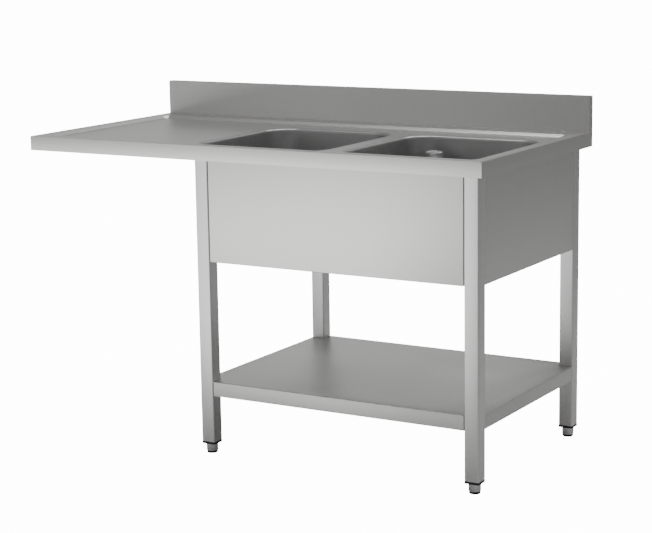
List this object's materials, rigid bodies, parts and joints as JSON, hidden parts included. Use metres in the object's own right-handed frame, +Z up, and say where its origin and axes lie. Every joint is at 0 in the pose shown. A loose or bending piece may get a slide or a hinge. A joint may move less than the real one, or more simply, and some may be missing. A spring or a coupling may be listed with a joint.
{
  "type": "catering sink unit",
  "caption": "Stainless steel catering sink: deep bowls, an overhanging drainboard with room for a machine below, upstand, apron, shelf and screw feet.",
  "frame": {"origin": "on the floor under the middle of the whole unit", "axes": "+X along the worktop towards the bowls' end, +Y towards the upstand and the wall, +Z up"},
  "size_m": [1.4, 0.7, 0.95],
  "materials": {
    "worktop_steel": "fine satin grain along the unit",
    "bowl_steel": "drawn satin",
    "apron_steel": "satin",
    "leg_steel": "satin, grain up the leg",
    "shelf_steel": "bright satin",
    "rail_steel": "plain mill finish",
    "polished_steel": "mirror polished stainless steel",
    "foot_steel": "turned, bright",
    "screw_steel": "plain",
    "black_plastic": "moulded",
    "black_rubber": "moulded"
  },
  "bodies": {
    "unit": {"worktop": "worktop_steel", "left_bowl": "bowl_steel", "right_bowl": "bowl_steel", "front_panel": "apron_steel", "rear_panel": "apron_steel", "right_panel": "apron_steel", "shelf": "shelf_steel", "front_rail": "rail_steel", "rear_rail": "rail_steel", "drainboard_end_rail": "rail_steel", "drainboard_middle_rail": "rail_steel", "bowl_side_rail": "rail_steel", "right_end_rail": "rail_steel", "shelf_stiffener": "rail_steel", "left_waste_body": "polished_steel", "right_waste_body": "polished_steel", "left_waste_gasket": "black_rubber", "right_waste_gasket": "black_rubber", "left_waste_nut": "black_plastic", "right_waste_nut": "black_plastic", "front_left_leg": "leg_steel", "front_left_leg_socket": "rail_steel", "front_left_leg_insert": "black_plastic", "front_left_shelf_bolt": "screw_steel", "front_left_socket_screw": "screw_steel", "front_panel_screw_left": "screw_steel", "front_right_leg": "leg_steel", "front_right_leg_socket": "rail_steel", "front_right_leg_insert": "black_plastic", "front_right_shelf_bolt": "screw_steel", "front_right_socket_screw": "screw_steel", "front_panel_screw_right": "screw_steel", "right_panel_screw_front": "screw_steel", "rear_left_leg": "leg_steel", "rear_left_leg_socket": "rail_steel", "rear_left_leg_insert": "black_plastic", "rear_left_shelf_bolt": "screw_steel", "rear_left_socket_screw": "screw_steel", "rear_panel_screw_left": "screw_steel", "rear_right_leg": "leg_steel", "rear_right_leg_socket": "rail_steel", "rear_right_leg_insert": "black_plastic", "rear_right_shelf_bolt": "screw_steel", "rear_right_socket_screw": "screw_steel", "rear_panel_screw_right": "screw_steel", "right_panel_screw_rear": "screw_steel"},
    "standpipe_body": {"standpipe": "polished_steel", "standpipe_plug": "black_rubber"},
    "front_left_foot_body": {"front_left_foot": "foot_steel", "front_left_foot_pad": "black_plastic"},
    "front_right_foot_body": {"front_right_foot": "foot_steel", "front_right_foot_pad": "black_plastic"},
    "rear_left_foot_body": {"rear_left_foot": "foot_steel", "rear_left_foot_pad": "black_plastic"},
    "rear_right_foot_body": {"rear_right_foot": "foot_steel", "rear_right_foot_pad": "black_plastic"}
  },
  "joints": [
    {"name": "standpipe_lift", "type": "slide", "parent": "unit", "child": "standpipe_body", "axis": [0, 0, 1], "range_m": [0, 0.3]},
    {"name": "front_left_foot_adjust", "type": "slide", "parent": "unit", "child": "front_left_foot_body", "axis": [0, 0, -1], "range_m": [0, 0.03]},
    {"name": "front_right_foot_adjust", "type": "slide", "parent": "unit", "child": "front_right_foot_body", "axis": [0, 0, -1], "range_m": [0, 0.03]},
    {"name": "rear_left_foot_adjust", "type": "slide", "parent": "unit", "child": "rear_left_foot_body", "axis": [0, 0, -1], "range_m": [0, 0.03]},
    {"name": "rear_right_foot_adjust", "type": "slide", "parent": "unit", "child": "rear_right_foot_body", "axis": [0, 0, -1], "range_m": [0, 0.03]}
  ]
}
